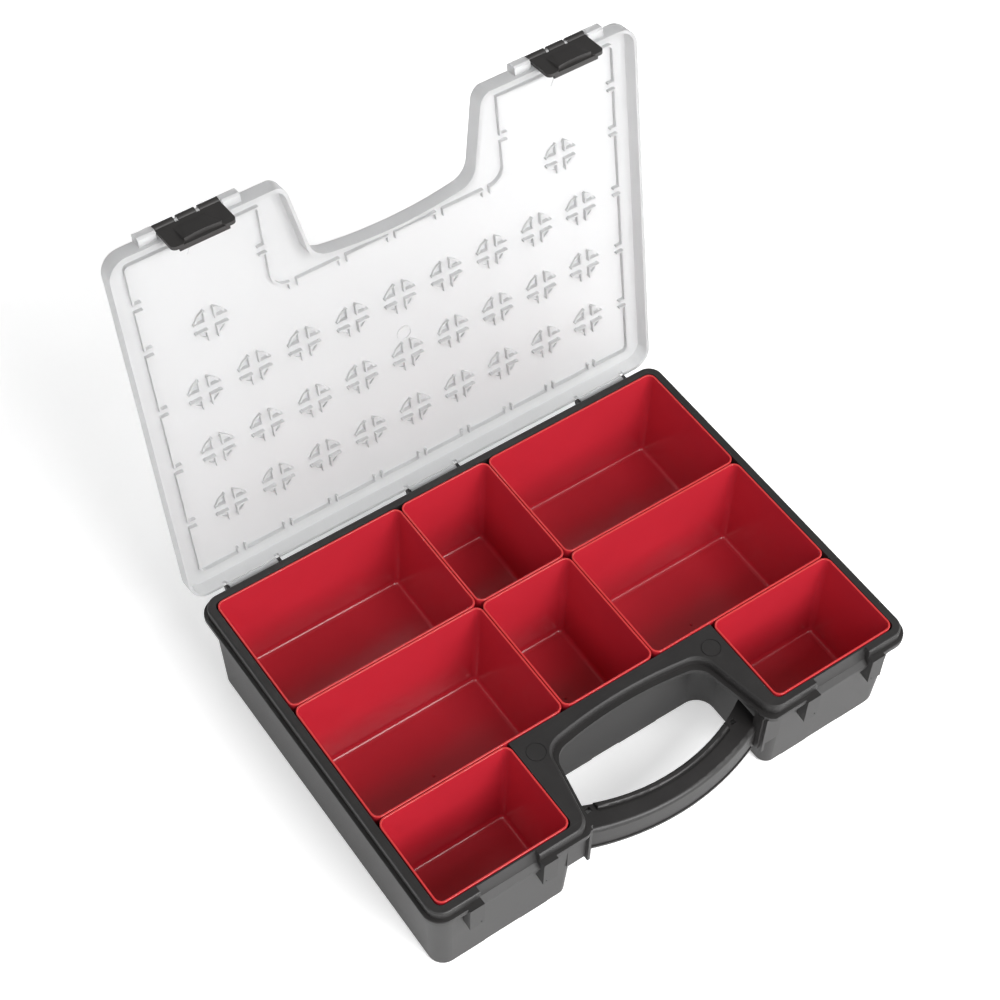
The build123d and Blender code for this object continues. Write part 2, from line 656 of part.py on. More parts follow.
def add_hinge_barrels(lid):
    """A clip barrel at each hinge, and slots in the skirt for the ears of the case."""
    half = HINGE_HALF_WIDTH - BARREL_PLAY
    skirt_inner = OUTER_DEPTH / 2 - LID_SKIRT
    web_outline = [
        (skirt_inner + 1, HINGE_AXIS_Z + 10),
        (skirt_inner + 1, HINGE_AXIS_Z + 1.6),
        (HINGE_AXIS_Y + HINGE_BARREL_RADIUS - 0.1, HINGE_AXIS_Z + 0.6),
    ]
    for centre in HINGE_XS:
        low, high = centre - half, centre + half
        web = block(low, high, skirt_inner, HINGE_AXIS_Y + 0.4, HINGE_AXIS_Z + 1.6, HINGE_AXIS_Z + 7.0)
        web = web + bar_along_x(HINGE_AXIS_Y, HINGE_AXIS_Z, HINGE_BARREL_RADIUS, low, high)
        lid = lid + (web + side_prism(web_outline, low, high))
        for hand in (-1, 1):
            near = centre + hand * (HINGE_HALF_WIDTH - EAR_SLOT_PLAY)
            ends = sorted((near, near + hand * (EAR_THICKNESS + 2 * EAR_SLOT_PLAY)))
            slot_top = HINGE_AXIS_Z + EAR_RADIUS + 1.2
            lid = lid - block(*ends, skirt_inner - 1, HINGE_AXIS_Y + 6, HINGE_AXIS_Z - 4, slot_top)
        bore = HINGE_PIN_RADIUS + RUNNING_FIT
        lid = lid - bar_along_x(HINGE_AXIS_Y, HINGE_AXIS_Z, bore, low - 1, high + 1)
    return lid


def add_latch_lugs(lid):
    """At each latch: two lugs, the rod between them and two thin webs that hold it."""
    half = LATCH_WIDTH / 2 + LATCH_SIDE_PLAY + 0.1
    skirt_face = 1 - OUTER_DEPTH / 2
    lug_top = LID_TOP - 0.6
    lug_outline = [
        (skirt_face, LATCH_AXIS_Z - 4.1),
        (LATCH_AXIS_Y - 1.2, LATCH_AXIS_Z - 4.1),
        (LATCH_AXIS_Y - 2.2, LATCH_AXIS_Z - 2.9),
        (LATCH_AXIS_Y - 2.2, LATCH_AXIS_Z + 1.7),
        (LATCH_AXIS_Y - 0.6, lug_top),
        (skirt_face, lug_top),
    ]
    for side in (-1, 1):
        centre = side * LATCH_X
        for hand in (-1, 1):
            ends = sorted((centre + hand * half, centre + hand * (half + GUARD_WIDTH + 1)))
            near = centre + hand * LATCH_WIDTH / 6
            web_ends = (near - 0.6, near + 0.6, LATCH_AXIS_Y, skirt_face)
            web = block(*web_ends, LATCH_AXIS_Z - 0.8, LATCH_AXIS_Z + 1.2)
            lid = lid + side_prism(lug_outline, *ends) + web
        reach = half + 1
        lid = lid + bar_along_x(
            LATCH_AXIS_Y, LATCH_AXIS_Z, LATCH_ROD_RADIUS, centre - reach, centre + reach
        )
    return lid


def latch_plate(centre):
    """The latch's plate, with rounded lower corners and an arched free edge between two feet."""
    low, high = centre - LATCH_WIDTH / 2, centre + LATCH_WIDTH / 2
    y, z = LATCH_AXIS_Y, LATCH_AXIS_Z
    plate = block(low, high, y - LATCH_PLATE_OUT, y + LATCH_PLATE_IN, z - LATCH_LENGTH, z)
    lower_corners = plate.edges().filter_by(Axis.Y).group_by(Axis.Z)[0]
    plate = fillet(lower_corners, LATCH_CORNER)
    radius = LATCH_ARCH_HALF**2 / (2 * LATCH_ARCH_RISE) + LATCH_ARCH_RISE / 2
    arch_z = z - LATCH_LENGTH + LATCH_ARCH_RISE - radius
    return plate - Pos(centre, y, arch_z) * Rot(90, 0, 0) * Cylinder(radius, 20)


def make_latch(centre):
    """One latch hanging straight down from its axis: clip barrel, plate, finger ramp and hook."""
    low, high = centre - LATCH_WIDTH / 2, centre + LATCH_WIDTH / 2
    y, z = LATCH_AXIS_Y, LATCH_AXIS_Z
    body = latch_plate(centre) + bar_along_x(y, z, LATCH_BARREL_RADIUS, low, high)
    sections = []
    edge_z = z - LATCH_LENGTH + LATCH_ARCH_RISE + 0.2
    for row_z, half_width, rise in ((z - 6.5, 6.5, 0.1), (edge_z, 11.0, LATCH_RAMP)):
        row_y = y - LATCH_PLATE_OUT - rise / 2 + 0.3
        sections.append(Pos(centre, row_y, row_z) * Rectangle(2 * half_width, rise + 0.6))
    hook_outline = [
        (y, z - LATCH_REACH),
        (y + LATCH_HOOK_DEPTH, z - LATCH_REACH),
        (y + LATCH_HOOK_DEPTH, z - LATCH_REACH - 1.0),
        (y + 1.4, z - LATCH_LENGTH + 0.2),
        (y, z - LATCH_LENGTH + 0.2),
    ]
    hook = side_prism(hook_outline, centre - LATCH_ARCH_HALF - 3, centre + LATCH_ARCH_HALF + 3)
    body = body + loft(sections) + hook
    for hand in (-1, 1):
        near = centre + hand * LATCH_WIDTH / 6
        body = body - block(near - 1.1, near + 1.1, y - 4, y + 4, z - 2.6, z + 4)
    body = body - bar_along_x(y, z, LATCH_ROD_RADIUS + RUNNING_FIT, low - 1, high + 1)
    # The clip is open towards the lid, so that it snaps over the rod.
    return body - block(low - 1, high + 1, y, y + 4, z + 0.9, z + 4)


def swing(shape, axis_y, axis_z, degrees):
    """Turn a shape about an axis along X."""
    return shape.rotate(Axis((0, axis_y, axis_z), (1, 0, 0)), degrees)


def write(name, shape):
    """Write one node, as its solids only."""
    solids = shape.solids()
    node = solids[0] if len(solids) == 1 else Compound(children=list(solids))
    export_step(node, f"parts/{name}.step")
    print(name, len(solids), "solid(s)", round(sum(s.volume for s in solids), 1), "mm3")


def main():
    os.makedirs("parts", exist_ok=True)
    write("case_base", make_case_base())
    lid = make_lid_closed()
    write("lid", swing(lid, HINGE_AXIS_Y, HINGE_AXIS_Z, -LID_OPEN_ANGLE))
    for name, side in (("latch_left", -1), ("latch_right", 1)):
        latch = swing(make_latch(side * LATCH_X), LATCH_AXIS_Y, LATCH_AXIS_Z, LATCH_REST_TILT)
        write(name, swing(latch, HINGE_AXIS_Y, HINGE_AXIS_Z, -LID_OPEN_ANGLE))
    for name, cell in tray_cells().items():
        write(name, make_tray(*cell))


main()
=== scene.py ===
"""Looks of a compartment organizer.

The red lift-out trays and the black latches are modelled around the moulded case and its clear lid.
"""

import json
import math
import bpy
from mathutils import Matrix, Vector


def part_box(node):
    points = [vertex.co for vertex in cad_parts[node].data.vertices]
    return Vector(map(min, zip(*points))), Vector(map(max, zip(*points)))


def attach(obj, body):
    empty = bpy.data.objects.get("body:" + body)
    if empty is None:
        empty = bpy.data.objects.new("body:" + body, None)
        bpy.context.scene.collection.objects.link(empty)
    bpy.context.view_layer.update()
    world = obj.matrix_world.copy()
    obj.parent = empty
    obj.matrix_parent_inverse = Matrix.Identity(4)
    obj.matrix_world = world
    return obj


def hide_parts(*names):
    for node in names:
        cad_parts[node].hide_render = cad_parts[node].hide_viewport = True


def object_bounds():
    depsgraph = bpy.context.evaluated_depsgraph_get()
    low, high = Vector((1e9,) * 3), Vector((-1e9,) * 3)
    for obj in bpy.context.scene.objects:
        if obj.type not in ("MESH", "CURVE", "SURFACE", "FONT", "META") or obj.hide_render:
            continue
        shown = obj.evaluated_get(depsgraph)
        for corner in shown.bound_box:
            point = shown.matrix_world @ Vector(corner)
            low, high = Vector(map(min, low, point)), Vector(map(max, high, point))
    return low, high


bl_info = {
    "name": "Compartment Organizer",
    "version": (1, 0, 0),
    "blender": (4, 5, 0),
    "location": "3D View > Sidebar > Organizer",
    "description": "Models the trays and latches, finishes the case and the clear lid, and sets the studio",
    "category": "Object",
}

import bmesh
import bpy
from bpy.props import FloatProperty, FloatVectorProperty, PointerProperty
from mathutils import Matrix, Quaternion, Vector

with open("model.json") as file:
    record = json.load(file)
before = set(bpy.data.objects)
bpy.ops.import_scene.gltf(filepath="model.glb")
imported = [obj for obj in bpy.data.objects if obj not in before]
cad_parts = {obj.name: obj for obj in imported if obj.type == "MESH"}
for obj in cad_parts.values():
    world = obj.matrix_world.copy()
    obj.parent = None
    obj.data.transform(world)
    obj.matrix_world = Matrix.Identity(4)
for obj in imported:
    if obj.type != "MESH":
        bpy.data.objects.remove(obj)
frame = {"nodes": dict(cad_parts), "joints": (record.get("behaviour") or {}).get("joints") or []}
CAD_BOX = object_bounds()
MM = 0.001
TRAY_NAMES = sorted(name for name in frame["nodes"] if name.startswith("tray_"))
LATCH_NAMES = ("latch_left", "latch_right")
JOINTS = {joint["name"]: joint for joint in frame["joints"]}

# Closeness at which a place counts as the same.
NEAR = 0.01 * MM
WELD = 0.002 * MM

# Angles over which an edge is shaded sharp, and over which it is rounded.
SMOOTH_ANGLE = math.radians(35.0)
SHARP_ANGLE = math.radians(40.0)

# A tray's upright corners are this much tighter at its foot.
FOOT_TIGHTER = 0.6 * MM

# Cutters of a latch: the mouth that snaps over the rod, and the slots for the rod's webs.
BARREL_SIDES = 40
CUTTER_REACH = 1.1
MOUTH_DEPTH = 4.0 * MM
MOUTH_HEIGHT = 3.1 * MM
MOUTH_LIFT = 2.45 * MM
NOTCH_DEPTH = 8.0 * MM
NOTCH_HEIGHT = 6.6 * MM
NOTCH_LIFT = 0.7 * MM

# Studio: the floor's side and gap under the case, where the softboxes point, and the camera's sensor.
WHITE = (1.0, 1.0, 1.0, 1.0)
FLOOR_SIDE = 6.0
FLOOR_GAP = 0.05 * MM
LIGHT_AIM = Vector((0.0, 0.0, 0.06))
SENSOR_WIDTH = 36.0


# ---------------------------------------------------------------- settings


class TrayShape(bpy.types.PropertyGroup):
    """Sizes of the lift-out trays."""

    wall: FloatProperty(
        name="Wall", description="Thickness of a tray's wall", default=1.2 * MM, unit="LENGTH"
    )
    floor: FloatProperty(
        name="Floor", description="Thickness of a tray's floor", default=1.4 * MM, unit="LENGTH"
    )
    draft: FloatProperty(
        name="Draft", description="How far a wall leans in from rim to floor",
        default=3.2 * MM, unit="LENGTH",
    )
    corner: FloatProperty(
        name="Corner", description="Radius of the upright corners", default=5.4 * MM, unit="LENGTH"
    )
    floor_round: FloatProperty(
        name="Floor round", description="Radius where the walls meet the floor",
        default=3.4 * MM, unit="LENGTH",
    )
    rim_round: FloatProperty(
        name="Rim round", description="Radius of the rim's edges", default=0.35 * MM, unit="LENGTH"
    )
    gate_radius: FloatProperty(
        name="Gate radius", description="Radius of the moulding gate's dome",
        default=0.9 * MM, unit="LENGTH",
    )
    gate_height: FloatProperty(
        name="Gate height", description="Height of the moulding gate's dome",
        default=0.7 * MM, unit="LENGTH",
    )
    gate_forward: FloatProperty(
        name="Gate forward", description="How far the gate sits ahead of the middle",
        default=4.5 * MM, unit="LENGTH",
    )


class LatchShape(bpy.types.PropertyGroup):
    """Sizes of the swinging latches."""

    width: FloatProperty(
        name="Width", description="Width of a latch along its rod", default=38.0 * MM, unit="LENGTH"
    )
    length: FloatProperty(
        name="Length", description="From the rod to the corner feet", default=20.4 * MM, unit="LENGTH"
    )
    inner: FloatProperty(
        name="Inner face", description="How far the plate reaches inward of the rod",
        default=0.6 * MM, unit="LENGTH",
    )
    outer: FloatProperty(
        name="Outer face", description="How far the plate reaches outward of the rod",
        default=1.6 * MM, unit="LENGTH",
    )
    barrel: FloatProperty(
        name="Barrel", description="Radius of the clip barrel", default=2.7 * MM, unit="LENGTH"
    )
    bore: FloatProperty(
        name="Bore", description="Radius of the hole for the rod", default=1.55 * MM, unit="LENGTH"
    )
    ramp: FloatProperty(
        name="Ramp", description="How far the finger ramp stands out", default=1.8 * MM, unit="LENGTH"
    )
    ramp_top: FloatProperty(
        name="Ramp top", description="How far below the rod the finger ramp begins",
        default=6.2 * MM, unit="LENGTH",
    )
    ramp_step: FloatProperty(
        name="Ramp step", description="How far the ramp still stands out at its top",
        default=0.15 * MM, unit="LENGTH",
    )
    ramp_taper: FloatProperty(
        name="Ramp taper", description="Width of the ramp's top, as a share of its foot", default=0.62
    )
    foot_inner: FloatProperty(
        name="Foot, inner side", description="From the latch's middle to the inner side of a corner foot",
        default=11.0 * MM, unit="LENGTH",
    )
    foot_outer: FloatProperty(
        name="Foot, outer side", description="From the latch's middle to where a corner foot is full",
        default=12.6 * MM, unit="LENGTH",
    )
    arch: FloatProperty(
        name="Arch", description="How far the free edge rises beside the feet",
        default=1.6 * MM, unit="LENGTH",
    )
    crown: FloatProperty(
        name="Crown", description="How much farther the free edge rises in its middle",
        default=0.8 * MM, unit="LENGTH",
    )
    hook: FloatProperty(
        name="Hook", description="How far the hook reaches under the catch", default=3.2 * MM, unit="LENGTH"
    )
    hook_top: FloatProperty(
        name="Hook top", description="How far below the rod the hook begins",
        default=18.2 * MM, unit="LENGTH",
    )
    hook_low: FloatProperty(
        name="Hook low", description="How far below the rod the hook ends",
        default=20.2 * MM, unit="LENGTH",
    )
    hook_side: FloatProperty(
        name="Hook side", description="How far the hook runs on past the feet's inner sides",
        default=3.6 * MM, unit="LENGTH",
    )
    hook_round: FloatProperty(
        name="Hook round", description="Radius of the hook's leading edge",
        default=1.2 * MM, unit="LENGTH",
    )
    notch: FloatProperty(
        name="Notch", description="Width of each slot for a rod web", default=2.2 * MM, unit="LENGTH"
    )
    tilt: FloatProperty(
        name="Tilt", description="Lean of a latch from straight down when the lid is closed",
        default=math.radians(3.5), subtype="ANGLE",
    )
    corner: FloatProperty(
        name="Corner", description="Radius of the two lower corners", default=3.0 * MM, unit="LENGTH"
    )
    edge_round: FloatProperty(
        name="Edge round", description="Radius of a latch's edges", default=0.3 * MM, unit="LENGTH"
    )


class Finishes(bpy.types.PropertyGroup):
    """Colours and surface values of the mouldings."""

    case_colour: FloatVectorProperty(
        name="Case", description="Colour of the black case", subtype="COLOR", size=3, min=0, max=1,
        default=(0.0135, 0.0124, 0.0122),
    )
    case_worn: FloatVectorProperty(
        name="Case worn", description="Colour of the case where it is rubbed", subtype="COLOR",
        size=3, min=0, max=1, default=(0.038, 0.036, 0.035),
    )
    latch_colour: FloatVectorProperty(
        name="Latch", description="Colour of the latches", subtype="COLOR", size=3, min=0, max=1,
        default=(0.020, 0.0185, 0.018),
    )
    tray_colour: FloatVectorProperty(
        name="Tray", description="Colour of the trays", subtype="COLOR", size=3, min=0, max=1,
        default=(0.44, 0.018, 0.031),
    )
    rim_colour: FloatVectorProperty(
        name="Rim", description="Colour of a tray's rim, where light shows through", subtype="COLOR",
        size=3, min=0, max=1, default=(0.52, 0.040, 0.036),
    )
    lid_colour: FloatVectorProperty(
        name="Lid", description="Colour of the frosted lid", subtype="COLOR", size=3, min=0, max=1,
        default=(0.75, 0.753, 0.757),
    )
    lid_clearness: FloatProperty(
        name="Clearness", description="Share of the light that passes through the lid",
        min=0, max=1, default=0.60,
    )


class Studio(bpy.types.PropertyGroup):
    """Floor, lights and camera."""

    azimuth: FloatProperty(
        name="Azimuth", description="Camera's turn round the case",
        default=math.radians(-36.33), subtype="ANGLE",
    )
    elevation: FloatProperty(
        name="Elevation", description="Camera's height above the horizon",
        default=math.radians(52.72), subtype="ANGLE",
    )
    roll: FloatProperty(
        name="Roll", description="Camera's lean about its own axis",
        default=math.radians(1.91), subtype="ANGLE",
    )
    distance: FloatProperty(
        name="Distance", description="From the camera to the point that it looks at",
        default=1.3124, unit="LENGTH",
    )
    target: FloatVectorProperty(
        name="Target", description="The point that the camera looks at", subtype="XYZ",
        size=3, default=(0.0218, 0.0868, 0.0745),
    )
    lens: FloatProperty(
        name="Lens", description="Focal length in millimetres on a 36 mm sensor", default=77.95
    )
    floor_colour: FloatVectorProperty(
        name="Floor", description="Colour of the pale floor", subtype="COLOR", size=3, min=0, max=1,
        default=(0.94, 0.94, 0.94),
    )
    floor_glow: FloatProperty(
        name="Floor glow", description="Light that the pale floor gives back of itself", default=0.38
    )
    room_light: FloatProperty(
        name="Room light", description="Strength of the even light from all round", default=0.27
    )
    key_power: FloatProperty(
        name="Key power", description="Power of the large softbox in watts", default=58.0
    )


# ---------------------------------------------------------------- modelling helpers


def start_fresh():
    """Leave edit mode and let go of everything that is selected."""
    if bpy.context.object and bpy.context.object.mode != "OBJECT":
        bpy.ops.object.mode_set(mode="OBJECT")
    bpy.ops.object.select_all(action="DESELECT")


def take(piece):
    """Make a piece the active one, and the only one selected."""
    start_fresh()
    bpy.context.view_layer.objects.active = piece
    piece.select_set(True)


def edit(piece):
    """Open a piece for editing, with nothing of it selected."""
    take(piece)
    bpy.ops.object.mode_set(mode="EDIT")
    bpy.ops.mesh.select_all(action="DESELECT")


def pick(kind, wanted):
    """Select the faces, edges or vertices of the edited piece that pass a test."""
    bpy.ops.mesh.select_mode(type=kind)
    bpy.ops.mesh.select_all(action="DESELECT")
    shape = bmesh.from_edit_mesh(bpy.context.edit_object.data)
    parts = {"FACE": shape.faces, "EDGE": shape.edges, "VERT": shape.verts}[kind]
    found = [part for part in parts if wanted(part)]
    for part in found:
        part.select_set(True)
    shape.select_flush_mode()
    bmesh.update_edit_mesh(bpy.context.edit_object.data)
    if not found:
        raise RuntimeError(f"nothing to select on {bpy.context.edit_object.name}")


def middle_of(part):
    """The middle of a face, edge or vertex."""
    points = [part.co] if isinstance(part, bmesh.types.BMVert) else [v.co for v in part.verts]
    return sum(points, Vector()) / len(points)


def push(y=0.0, z=0.0):
    """Extrude what is selected and move it."""
    bpy.ops.mesh.extrude_region_move(TRANSFORM_OT_translate={"value": (0.0, y, z)})


def scale_about(centre, x=1.0, y=1.0, z=1.0):
    """Scale what is selected about a point."""
    bpy.ops.transform.resize(value=(x, y, z), center_override=centre)


def finish_mesh(piece):
    """Close up a piece: faces outward, smooth where it curves, origin at the frame's origin."""
    edit(piece)
    bpy.ops.mesh.select_all(action="SELECT")
    bpy.ops.mesh.remove_doubles(threshold=WELD)
    bpy.ops.mesh.normals_make_consistent(inside=False)
    take(piece)
    bpy.ops.object.transform_apply(location=True, rotation=True, scale=True)
    bpy.ops.object.shade_smooth_by_angle(angle=SMOOTH_ANGLE)


def combine(piece, tool, operation):
    """Join a tool shape to a piece, or cut it away, and throw the tool away."""
    take(piece)
    cut = piece.modifiers.new("combine", "BOOLEAN")
    cut.operation = operation
    cut.solver = "EXACT"
    cut.object = tool
    bpy.ops.object.modifier_apply(modifier=cut.name)
    bpy.data.objects.remove(tool)


def soften(piece, width):
    """Round a piece's sharp edges."""
    take(piece)
    rounding = piece.modifiers.new("soften", "BEVEL")
    rounding.width = width
    rounding.segments = 2
    rounding.limit_method = "ANGLE"
    rounding.angle_limit = SHARP_ANGLE
    bpy.ops.object.modifier_apply(modifier=rounding.name)


def give(piece, material):
    """Make a material the only one on a piece."""
    piece.data.materials.clear()
    piece.data.materials.append(material)


# ---------------------------------------------------------------- shader helpers


class Signal:
    """An output of a material's nodes that works in plain arithmetic."""

    def __init__(self, tree, socket):
        self.tree = tree
        self.socket = socket

    def maths(self, operation, first, second=0.0):
        node = self.tree.nodes.new("ShaderNodeMath")
        node.operation = operation
        for place, value in enumerate((first, second)):
            if isinstance(value, Signal):
                self.tree.links.new(value.socket, node.inputs[place])
            else:
                node.inputs[place].default_value = value
        return Signal(self.tree, node.outputs[0])

    def __add__(self, other):
        return self.maths("ADD", self, other)

    def __radd__(self, other):
        return self.maths("ADD", other, self)

    def __sub__(self, other):
        return self.maths("SUBTRACT", self, other)

    def __rsub__(self, other):
        return self.maths("SUBTRACT", other, self)

    def __mul__(self, other):
        return self.maths("MULTIPLY", self, other)

    def __truediv__(self, other):
        return self.maths("DIVIDE", self, other)

    def __abs__(self):
        return self.maths("ABSOLUTE", self)

    def clamped(self):
        """The same value, kept between 0 and 1."""
        limit = self.maths("MINIMUM", self, 1.0)
        return self.maths("MAXIMUM", limit, 0.0)

    def above(self, start, steepness):
        """0 up to a start, then a rise to 1 that is this steep."""
        return ((self - start) * steepness).clamped()


class Finish:
    """A material built from nodes around one shader."""

    def __init__(self, name):
        self.material = bpy.data.materials.new(name)
        self.material.use_nodes = True
        self.tree = self.material.node_tree
        self.shader = self.tree.nodes["Principled BSDF"]

    def node(self, kind, settings=None, output=0, **values):
        """Add a node, set it up, then fill its inputs. An input's name is written with _ for a space."""
        node = self.tree.nodes.new(kind)
        for name, value in (settings or {}).items():
            setattr(node, name, value)
        for name, value in values.items():
            self.fill(node, name.replace("_", " "), value)
        return Signal(self.tree, node.outputs[output])

    def fill(self, node, name, value):
        """Link or set the enabled input of a node that has this name."""
        socket = next(s for s in node.inputs if s.name == name and s.enabled)
        if isinstance(value, Signal):
            self.tree.links.new(value.socket, socket)
        else:
            socket.default_value = value

    def surface(self, **values):
        """Fill the shader's own inputs."""
        for name, value in values.items():
            self.fill(self.shader, name.replace("_", " "), value)
        return self.material

    def place(self):
        """Position on the object, in metres."""
        return self.node("ShaderNodeTexCoord", output=3)

    def axis(self, vector, letter):
        """One coordinate of a vector."""
        return self.node("ShaderNodeSeparateXYZ", output="XYZ".index(letter), Vector=vector)

    def noise(self, scale, detail=3.0, roughness=0.5):
        """Noise with about scale lumps to a metre."""
        return self.node(
            "ShaderNodeTexNoise", Vector=self.place(), Scale=scale, Detail=detail, Roughness=roughness
        )

    def blend(self, share, first, second):
        """A colour between two colours."""
        return self.node(
            "ShaderNodeMix", {"data_type": "RGBA"}, output=2, Factor=share,
            A=self.colour(first), B=self.colour(second),
        )

    @staticmethod
    def colour(value):
        return value if isinstance(value, Signal) else (*value, 1.0)


def case_plastic():
    """Black polypropylene: fine spark grain, faint rubbing and dust."""
    look = bpy.context.scene.organizer_finishes
    finish = Finish("case_plastic")
    facing = finish.axis(finish.node("ShaderNodeTexCoord", output=1), "Z")
    upright = 1.0 - abs(facing)
    grain = finish.noise(2600.0, detail=2.0)
    cloud = finish.noise(38.0, detail=4.0, roughness=0.6)
    drawn_out = finish.node(
        "ShaderNodeMapping", Vector=finish.place(), Scale=(60.0, 900.0, 900.0), Rotation=(0.2, 0.3, 0.5)
    )
    scuff = finish.node("ShaderNodeTexNoise", Vector=drawn_out, Scale=1.0, Detail=2.0)
    scratches = scuff.above(0.66, 8.0) * 0.35
    patches = cloud.above(0.45, 1.6) * 0.3
    base = finish.blend((scratches + patches).clamped(), look.case_colour, look.case_worn)
    relief = finish.node(
        "ShaderNodeBump", Strength=0.35, Distance=0.12 * MM, Height=grain * (0.35 + upright * 0.65)
    )
    return finish.surface(
        Base_Color=base, Roughness=0.40 + upright * 0.10 + cloud * 0.08, Normal=relief,
        Specular_IOR_Level=0.55,
    )


def latch_plastic():
    """Charcoal polypropylene with a fine even grain."""
    look = bpy.context.scene.organizer_finishes
    finish = Finish("latch_plastic")
    grain = finish.noise(3200.0, detail=2.0)
    cloud = finish.noise(120.0, detail=3.0)
    base = finish.blend((cloud * 0.5).clamped(), look.latch_colour, look.case_worn)
    relief = finish.node("ShaderNodeBump", Strength=0.3, Distance=0.10 * MM, Height=grain)
    return finish.surface(Base_Color=base, Roughness=0.46 + cloud * 0.08, Normal=relief)


def tray_plastic(rim_height):
    """Glossy red polypropylene: the thin rim painted lighter as a painted glow of light showing through it,
    with flow marks and light scratches.
    """
    look = bpy.context.scene.organizer_finishes
    finish = Finish("tray_plastic")
    height = finish.axis(finish.place(), "Z")
    # Painted glow: the top of the rim is painted lighter towards rim_colour, standing in for light that
    # shows through the thin plastic.
    rim_start, rim_fade = rim_height - 0.9 * MM, 0.7 * MM
    rim = ((height - rim_start) / rim_fade).clamped()
    cloud = finish.noise(22.0, detail=3.0, roughness=0.55)
    flow = finish.noise(300.0, detail=2.0)
    deep = (1.0 - cloud * 1.4).clamped() * 0.25
    darker = [channel * 0.6 for channel in look.tray_colour]
    body = finish.blend(deep, look.tray_colour, darker)
    base = finish.blend(rim * 0.7, body, look.rim_colour)
    relief = finish.node("ShaderNodeBump", Strength=0.08, Distance=0.2 * MM, Height=flow + cloud)
    return finish.surface(
        Base_Color=base, Roughness=0.16 + cloud * 0.10, Normal=relief, Specular_IOR_Level=0.5,
        Subsurface_Weight=0.06, Subsurface_Radius=(1.0, 0.1, 0.08), Subsurface_Scale=2.0 * MM,
    )


def lid_plastic():
    """Frosted clear polypropylene: milky, faintly wavy and finely scratched."""
    look = bpy.context.scene.organizer_finishes
    finish = Finish("lid_plastic")
    wave = finish.noise(16.0, detail=2.0)
    fine = finish.noise(700.0, detail=3.0)
    haze = finish.noise(9.0, detail=3.0, roughness=0.6)
    milky = [channel * 0.93 for channel in look.lid_colour]
    base = finish.blend((haze * 0.8).clamped(), look.lid_colour, milky)
    relief = finish.node("ShaderNodeBump", Strength=0.12, Distance=0.3 * MM, Height=wave + fine * 0.12)
    return finish.surface(
        Base_Color=base, Roughness=0.34 + haze * 0.14, Normal=relief,
        Transmission_Weight=look.lid_clearness, IOR=1.32,
    )


# ---------------------------------------------------------------- the pieces


def model_tray(node, shape):
    """A drafted open tray with round corners, a rounded rim and the gate's dome on its floor."""
    low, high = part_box(node)
    centre = (low + high) / 2
    width, depth, height = high - low
    low_width, low_depth = width - 2 * shape.draft, depth - 2 * shape.draft
    start_fresh()
    bpy.ops.mesh.primitive_plane_add(size=1.0, location=(centre.x, centre.y, low.z))
    tray = bpy.context.object
    tray.name = node + "_shell"
    bpy.ops.object.transform_apply(location=True)
    edit(tray)
    bpy.ops.mesh.select_all(action="SELECT")
    foot = (centre.x, centre.y, low.z)
    rim = (centre.x, centre.y, high.z)
    scale_about(foot, low_width, low_depth)
    bpy.ops.mesh.select_mode(type="VERT")
    bpy.ops.mesh.select_all(action="SELECT")
    bpy.ops.mesh.bevel(offset=shape.corner - FOOT_TIGHTER, segments=7, affect="VERTICES")
    bpy.ops.mesh.select_mode(type="FACE")
    bpy.ops.mesh.select_all(action="SELECT")
    push(z=height)
    scale_about(rim, width / low_width, depth / low_depth)
    pick("FACE", lambda face: middle_of(face).z > high.z - NEAR)
    bpy.ops.mesh.inset(thickness=shape.wall)
    inner_floor = low.z + shape.floor
    push(z=inner_floor - high.z)
    narrower = (low_width - 2 * shape.wall) / (width - 2 * shape.wall)
    shallower = (low_depth - 2 * shape.wall) / (depth - 2 * shape.wall)
    scale_about((centre.x, centre.y, inner_floor), narrower, shallower)

    def lies_at(z):
        return lambda edge: all(abs(v.co.z - z) < NEAR for v in edge.verts)

    roundings = (
        (inner_floor, shape.floor_round, 6),
        (low.z, shape.floor_round, 5),
        (high.z, shape.rim_round, 3),
    )
    for z, radius, segments in roundings:
        pick("EDGE", lies_at(z))
        bpy.ops.mesh.bevel(offset=radius, segments=segments, affect="EDGES")
    start_fresh()
    bpy.ops.mesh.primitive_uv_sphere_add(
        segments=24, ring_count=12, radius=1.0,
        location=(centre.x, centre.y - shape.gate_forward, inner_floor),
    )
    gate = bpy.context.object
    edit(gate)
    bpy.ops.mesh.select_all(action="SELECT")
    scale_about(gate.location, shape.gate_radius, shape.gate_radius, shape.gate_height)
    start_fresh()
    combine(tray, gate, "UNION")
    finish_mesh(tray)
    return tray


